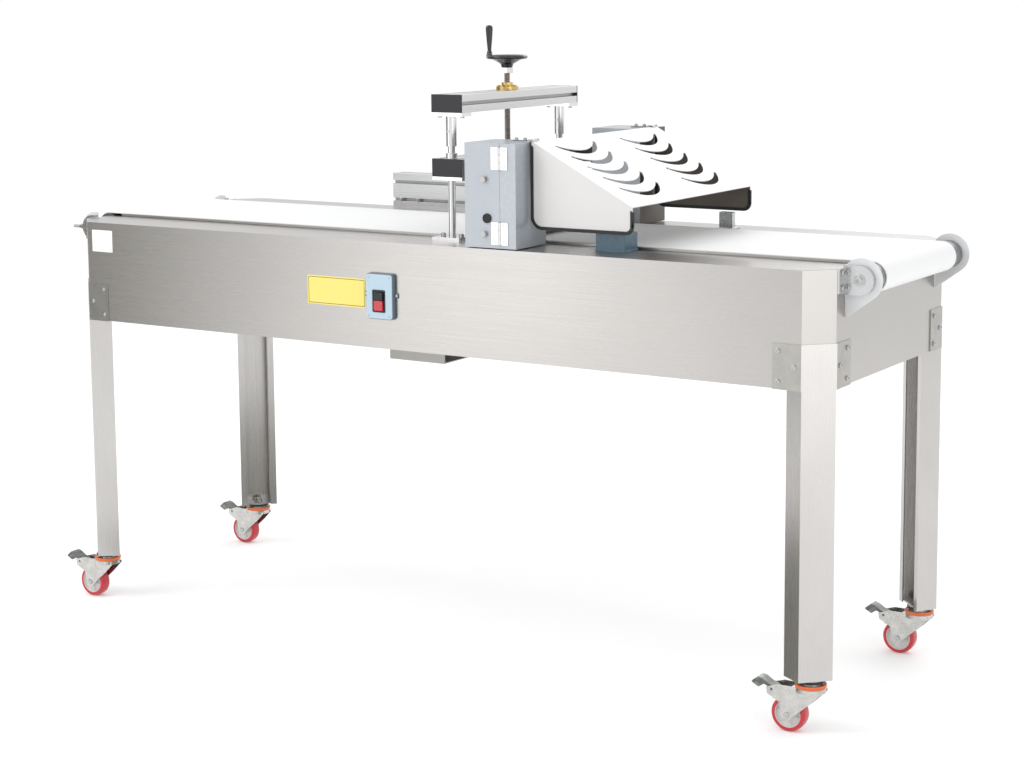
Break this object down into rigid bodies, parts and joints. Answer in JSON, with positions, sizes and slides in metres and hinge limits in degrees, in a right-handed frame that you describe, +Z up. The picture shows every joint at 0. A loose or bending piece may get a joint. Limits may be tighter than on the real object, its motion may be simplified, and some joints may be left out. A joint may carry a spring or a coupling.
{
  "type": "belt conveyor with press head",
  "caption": "Stainless belt conveyor table on casters with a height-adjustable press head, slotted white guard hood, handwheel gantry and side switch box.",
  "frame": {"origin": "middle of the bounding box in X and Y, on the floor under the wheels", "axes": "+X along the belt towards the hood end, -Y towards the operator's side with the switch box, +Z up"},
  "size_m": [2.1623, 0.7024, 1.427],
  "materials": {
    "stainless_sheet": "brushed, satin",
    "bright_steel": "machined, satin",
    "zinc_steel": "zinc plated",
    "caster_tread": "matt",
    "pedal_plastic": "matt",
    "conveyor_belt": "matt white",
    "drum_steel": "turned, dull",
    "guard_plastic": "matt white",
    "label_yellow": "printed film, blank",
    "motor_paint": "semi-gloss",
    "switch_blue": "fine texture",
    "black_plastic": "satin",
    "stop_red": "gloss",
    "profile_aluminium": "clear anodised",
    "screw_steel": "oiled",
    "nut_brass": "machined",
    "head_paint": "blue-grey, satin",
    "hood_paint": "white, satin",
    "edge_rubber": "matt",
    "guard_blue": "satin",
    "bracket_black": "matt black"
  },
  "bodies": {
    "table": {"caster_mounts": "zinc_steel", "table_frame": "stainless_sheet", "slider_bed": "stainless_sheet", "cross_rails": "stainless_sheet", "leg_fr": "stainless_sheet", "leg_fl": "stainless_sheet", "leg_br": "stainless_sheet", "leg_bl": "stainless_sheet", "frame_bolts": "bright_steel", "label_plates": "label_yellow", "belt": "conveyor_belt", "drum_axles": "bright_steel", "bearing_plates": "bright_steel", "side_guards": "guard_plastic", "drive_tray": "stainless_sheet", "gearmotor": "motor_paint", "switch_box": "switch_blue", "guide_columns": "bright_steel", "column_sleeves": "bright_steel", "upper_beam": "profile_aluminium", "upper_beam_caps": "black_plastic", "screw_nut": "nut_brass", "guard_block": "guard_blue", "guard_post": "bright_steel", "side_profile": "profile_aluminium"},
    "head": {"lower_beam": "profile_aluminium", "lower_beam_caps": "black_plastic", "slide_bushes": "bright_steel", "head_box_near": "head_paint", "head_box_far": "head_paint", "head_motor": "motor_paint", "head_brackets": "bracket_black", "head_bolts": "bright_steel"},
    "lift_wheel": {"lift_screw": "screw_steel", "handwheel": "black_plastic"},
    "grip": {"crank_grip": "black_plastic"},
    "hood": {"hood": "hood_paint", "hood_trim": "edge_rubber"},
    "door_near": {"door_near": "head_paint"},
    "door_far": {"door_far": "head_paint"},
    "press_roller": {"press_roller": "bright_steel"},
    "drum_right": {"drum_right": "drum_steel"},
    "drum_left": {"drum_left": "drum_steel"},
    "drive_drum": {"drive_drum": "drum_steel"},
    "snub_right": {"snub_roller_right": "drum_steel"},
    "snub_left": {"snub_roller_left": "drum_steel"},
    "start_button": {"start_button": "black_plastic"},
    "stop_button": {"stop_button": "stop_red"},
    "swivel_fr": {"caster_fork_fr": "zinc_steel"},
    "wheel_fr": {"caster_wheel_fr": "caster_tread"},
    "brake_fr": {"caster_brake_fr": "pedal_plastic"},
    "swivel_fl": {"caster_fork_fl": "zinc_steel"},
    "wheel_fl": {"caster_wheel_fl": "caster_tread"},
    "brake_fl": {"caster_brake_fl": "pedal_plastic"},
    "swivel_br": {"caster_fork_br": "zinc_steel"},
    "wheel_br": {"caster_wheel_br": "caster_tread"},
    "brake_br": {"caster_brake_br": "pedal_plastic"},
    "swivel_bl": {"caster_fork_bl": "zinc_steel"},
    "wheel_bl": {"caster_wheel_bl": "caster_tread"},
    "brake_bl": {"caster_brake_bl": "pedal_plastic"}
  },
  "joints": [
    {"name": "head_lift", "type": "slide", "parent": "table", "child": "head", "axis": [0, 0, 1], "range_m": [0, 0.014]},
    {"name": "handwheel_turn", "type": "hinge", "parent": "head", "child": "lift_wheel", "pos_m": [0.05572, 0.00475, 1.3], "axis": [0, 0, 1], "range_deg": [-5, 1265]},
    {"name": "grip_spin", "type": "hinge", "parent": "lift_wheel", "child": "grip", "pos_m": [0.0218, -0.01645, 1.4], "axis": [0, 0, 1], "continuous": true},
    {"name": "hood_open", "type": "hinge", "parent": "head", "child": "hood", "pos_m": [0.29022, 0.00475, 1.187], "axis": [0, -1, 0], "range_deg": [0, 95]},
    {"name": "door_near_open", "type": "hinge", "parent": "head", "child": "door_near", "pos_m": [0.24722, -0.33375, 1.07], "axis": [0, 0, 1], "range_deg": [0, 110]},
    {"name": "door_far_open", "type": "hinge", "parent": "head", "child": "door_far", "pos_m": [0.24722, 0.34325, 1.07], "axis": [0, 0, -1], "range_deg": [0, 110]},
    {"name": "press_roller_spin", "type": "hinge", "parent": "head", "child": "press_roller", "pos_m": [0.20822, 0.00475, 0.987], "axis": [0, 1, 0], "continuous": true},
    {"name": "drive_drum_spin", "type": "hinge", "parent": "table", "child": "drive_drum", "pos_m": [-0.09978, 0.00475, 0.805], "axis": [0, 1, 0], "continuous": true},
    {"name": "drum_right_spin", "type": "hinge", "parent": "table", "child": "drum_right", "pos_m": [1.03722, 0.00475, 0.9305], "axis": [0, 1, 0], "continuous": true},
    {"name": "drum_left_spin", "type": "hinge", "parent": "table", "child": "drum_left", "pos_m": [-1.00978, 0.00475, 0.9305], "axis": [0, 1, 0], "continuous": true},
    {"name": "snub_right_spin", "type": "hinge", "parent": "table", "child": "snub_right", "pos_m": [-0.03728, 0.00475, 0.878], "axis": [0, 1, 0], "continuous": true},
    {"name": "snub_left_spin", "type": "hinge", "parent": "table", "child": "snub_left", "pos_m": [-0.16228, 0.00475, 0.878], "axis": [0, 1, 0], "continuous": true},
    {"name": "start_press", "type": "slide", "parent": "table", "child": "start_button", "axis": [0, 1, 0], "range_m": [0, 0.003], "stiffness_N_per_m": 400},
    {"name": "stop_press", "type": "slide", "parent": "table", "child": "stop_button", "axis": [0, 1, 0], "range_m": [0, 0.003], "stiffness_N_per_m": 400},
    {"name": "swivel_fr_turn", "type": "hinge", "parent": "table", "child": "swivel_fr", "pos_m": [0.96166, -0.29369, 0.095], "axis": [0, 0, 1], "continuous": true},
    {"name": "wheel_fr_spin", "type": "hinge", "parent": "swivel_fr", "child": "wheel_fr", "pos_m": [0.91666, -0.29369, 0.0375], "axis": [0, 1, 0], "continuous": true},
    {"name": "brake_fr_press", "type": "hinge", "parent": "swivel_fr", "child": "brake_fr", "pos_m": [0.88267, -0.29369, 0.086], "axis": [0, -1, 0], "range_deg": [0, 18]},
    {"name": "swivel_fl_turn", "type": "hinge", "parent": "table", "child": "swivel_fl", "pos_m": [-0.95522, -0.29369, 0.095], "axis": [0, 0, 1], "continuous": true},
    {"name": "wheel_fl_spin", "type": "hinge", "parent": "swivel_fl", "child": "wheel_fl", "pos_m": [-1.00022, -0.29369, 0.0375], "axis": [0, 1, 0], "continuous": true},
    {"name": "brake_fl_press", "type": "hinge", "parent": "swivel_fl", "child": "brake_fl", "pos_m": [-1.03422, -0.29369, 0.086], "axis": [0, -1, 0], "range_deg": [0, 18]},
    {"name": "swivel_br_turn", "type": "hinge", "parent": "table", "child": "swivel_br", "pos_m": [0.96166, 0.30319, 0.095], "axis": [0, 0, 1], "continuous": true},
    {"name": "wheel_br_spin", "type": "hinge", "parent": "swivel_br", "child": "wheel_br", "pos_m": [0.91666, 0.30319, 0.0375], "axis": [0, 1, 0], "continuous": true},
    {"name": "brake_br_press", "type": "hinge", "parent": "swivel_br", "child": "brake_br", "pos_m": [0.88267, 0.30319, 0.086], "axis": [0, -1, 0], "range_deg": [0, 18]},
    {"name": "swivel_bl_turn", "type": "hinge", "parent": "table", "child": "swivel_bl", "pos_m": [-0.95522, 0.30319, 0.095], "axis": [0, 0, 1], "continuous": true},
    {"name": "wheel_bl_spin", "type": "hinge", "parent": "swivel_bl", "child": "wheel_bl", "pos_m": [-1.00022, 0.30319, 0.0375], "axis": [0, 1, 0], "continuous": true},
    {"name": "brake_bl_press", "type": "hinge", "parent": "swivel_bl", "child": "brake_bl", "pos_m": [-1.03422, 0.30319, 0.086], "axis": [0, -1, 0], "range_deg": [0, 18]}
  ],
  "couplings": [
    {"joint": "handwheel_turn", "follows": "head_lift", "rad_per_m": 1570.8},
    {"joint": "drum_right_spin", "follows": "drive_drum_spin", "ratio": 1.32},
    {"joint": "drum_left_spin", "follows": "drive_drum_spin", "ratio": 1.32},
    {"joint": "snub_right_spin", "follows": "drive_drum_spin", "ratio": -1.9412},
    {"joint": "snub_left_spin", "follows": "drive_drum_spin", "ratio": -1.9412}
  ]
}
